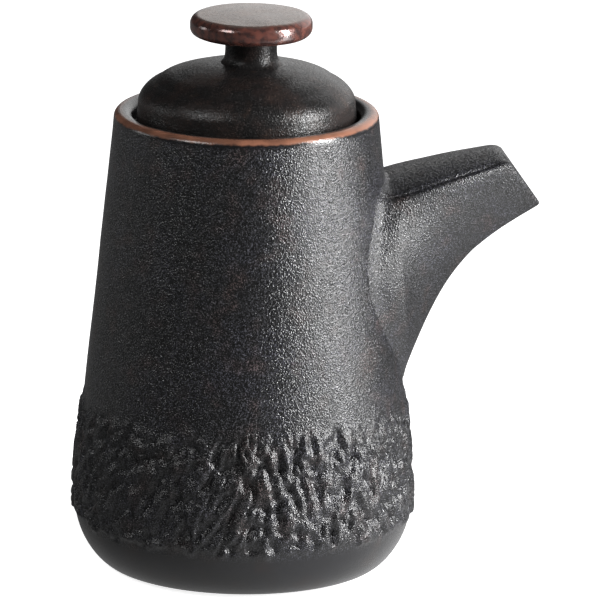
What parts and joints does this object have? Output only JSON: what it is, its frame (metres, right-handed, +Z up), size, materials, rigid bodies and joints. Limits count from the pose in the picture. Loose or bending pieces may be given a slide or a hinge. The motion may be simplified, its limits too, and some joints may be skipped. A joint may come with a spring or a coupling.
{
  "type": "sake bottle",
  "caption": "Lidded stoneware pouring bottle: tapering round body, triangular side spout, and a domed lid with a disc knob that lifts off.",
  "frame": {"origin": "centre of the foot ring's underside, on the table", "axes": "+Z up along the bottle's axis, +X the way the spout points, +Y to the left of the spout seen from behind it"},
  "size_m": [0.1095, 0.0796, 0.1322],
  "materials": {
    "body_glaze": "matte",
    "lid_glaze": "satin",
    "knob_glaze": "satin",
    "bare_clay": "matte"
  },
  "bodies": {
    "bottle": {"bottle_body": "body_glaze", "foot_ring": "bare_clay", "lid_seat": "body_glaze", "spout": "body_glaze"},
    "lid": {"lid_dome": "lid_glaze", "lid_flange": "lid_glaze", "knob_stem": "lid_glaze", "knob_cap": "knob_glaze"}
  },
  "joints": [
    {"name": "lid_lift", "type": "slide", "parent": "bottle", "child": "lid", "axis": [0, 0, 1], "range_m": [0, 0.03]}
  ]
}
